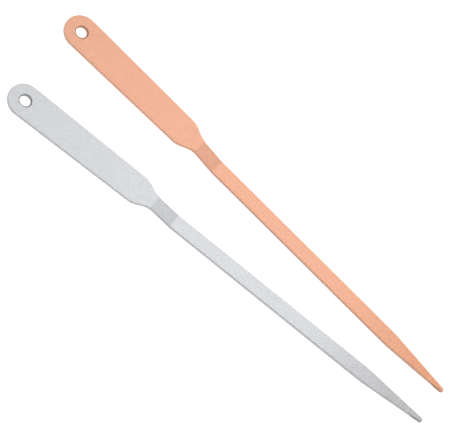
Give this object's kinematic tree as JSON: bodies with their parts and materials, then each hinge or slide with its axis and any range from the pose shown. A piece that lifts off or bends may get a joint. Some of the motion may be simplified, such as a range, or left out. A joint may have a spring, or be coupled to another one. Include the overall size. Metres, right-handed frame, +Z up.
{
  "type": "sculpting spatula",
  "caption": "Matching flat steel sculpting spatulas in rose gold and silver, each with a round-ended handle, hanging hole, stepped shoulder and long blade with a tapered point.",
  "frame": {"origin": "middle of the surface that both spatulas lie on, under the middle of their common box", "axes": "+X along the rose gold spatula from its butt to its point, +Z up, away from the surface; the silver spatula lies on the -Y side"},
  "size_m": [0.2304, 0.0598, 0.0034],
  "materials": {
    "rose_gold_steel": "rose gold plated steel, fine satin grain, ground point",
    "silver_steel": "plain stainless steel, fine satin grain, ground point"
  },
  "bodies": {
    "rose_gold_tool": {"rose_gold_spatula": "rose_gold_steel"},
    "silver_tool": {"silver_spatula": "silver_steel"}
  },
  "joints": [
    {"name": "silver_lift_off", "type": "slide", "parent": "rose_gold_tool", "child": "silver_tool", "axis": [0, 0, 1], "range_m": [0, 0.12]}
  ]
}
